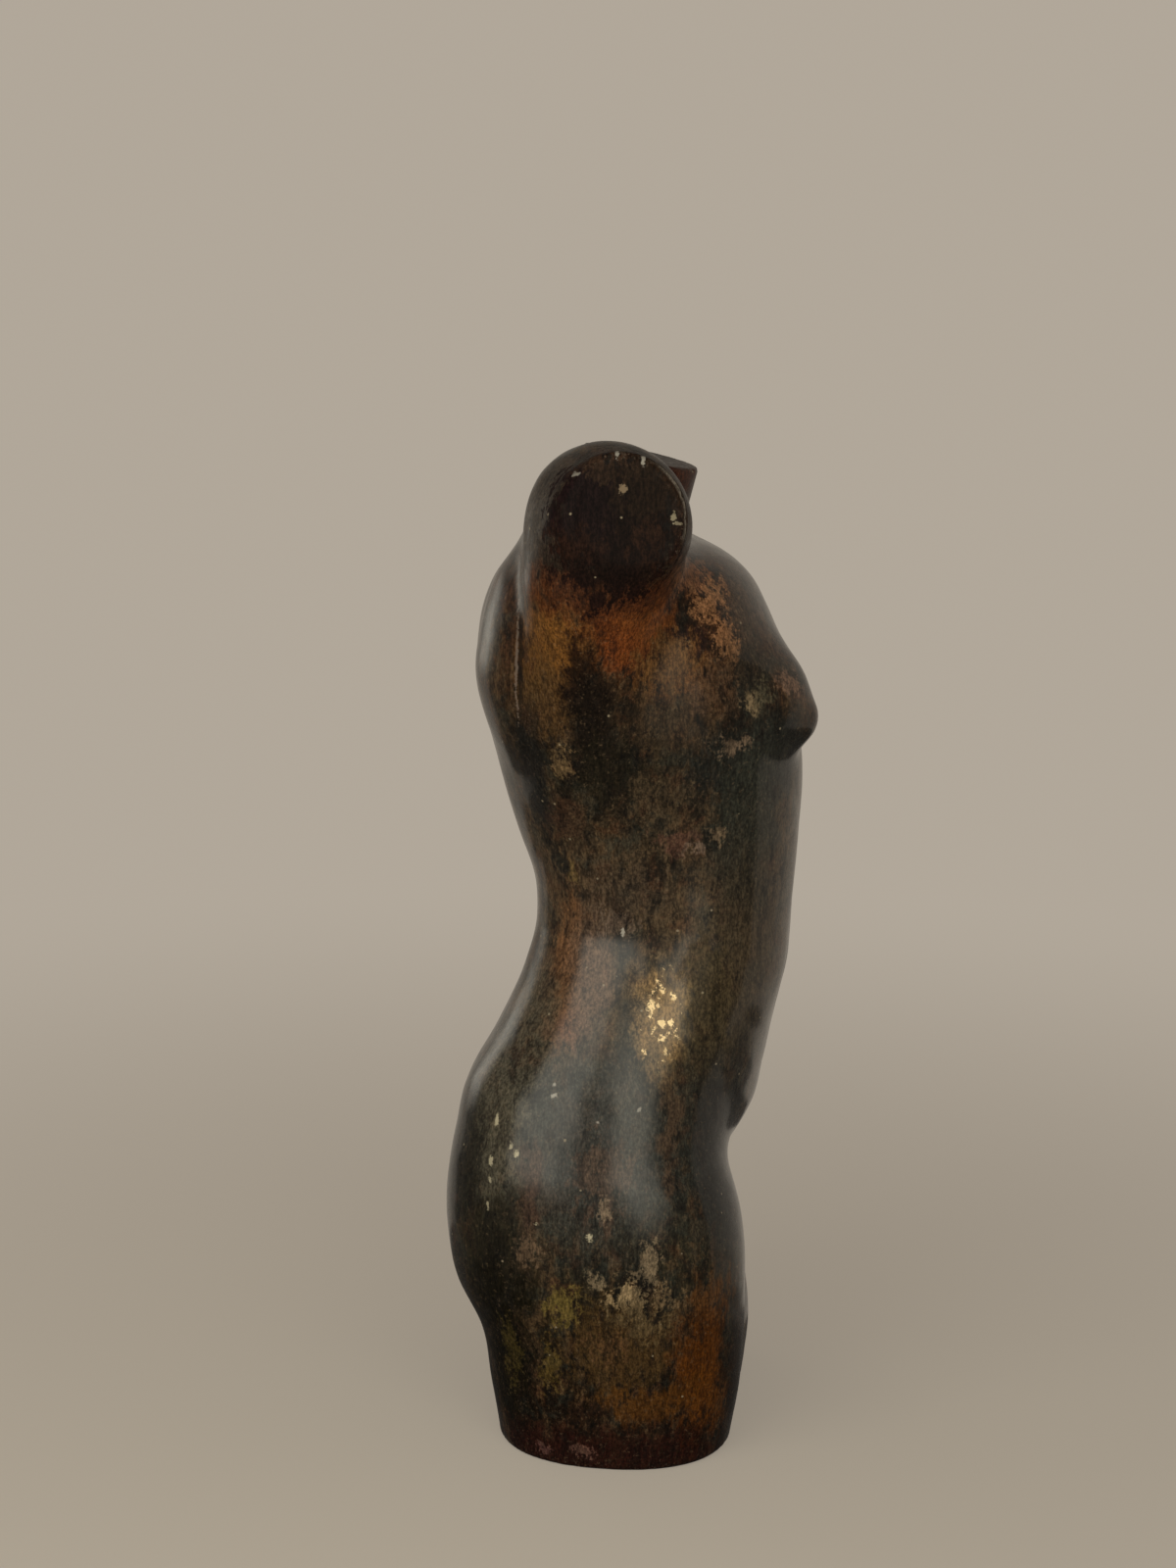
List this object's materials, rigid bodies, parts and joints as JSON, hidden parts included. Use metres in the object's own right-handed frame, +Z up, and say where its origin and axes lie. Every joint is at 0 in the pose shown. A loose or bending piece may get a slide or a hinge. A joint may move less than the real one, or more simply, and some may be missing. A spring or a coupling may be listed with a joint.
{
  "type": "torso sculpture",
  "caption": "Headless standing female torso in glossy lacquered resin with a mottled bronze, ochre and black patina, cut flat at thighs, neck and arms",
  "frame": {"origin": "centre of the outline's box, on the flat underside", "axes": "+Z up from the cut thighs to the neck, -Y to the figure's front, +X to the figure's left"},
  "size_m": [0.2564, 0.1768, 0.5001],
  "materials": {
    "lacquered_resin": "clear gloss lacquer over a mottled black, brown and ochre patina with flecks of gold leaf"
  },
  "bodies": {
    "root": {"torso": "lacquered_resin"}
  },
  "joints": []
}
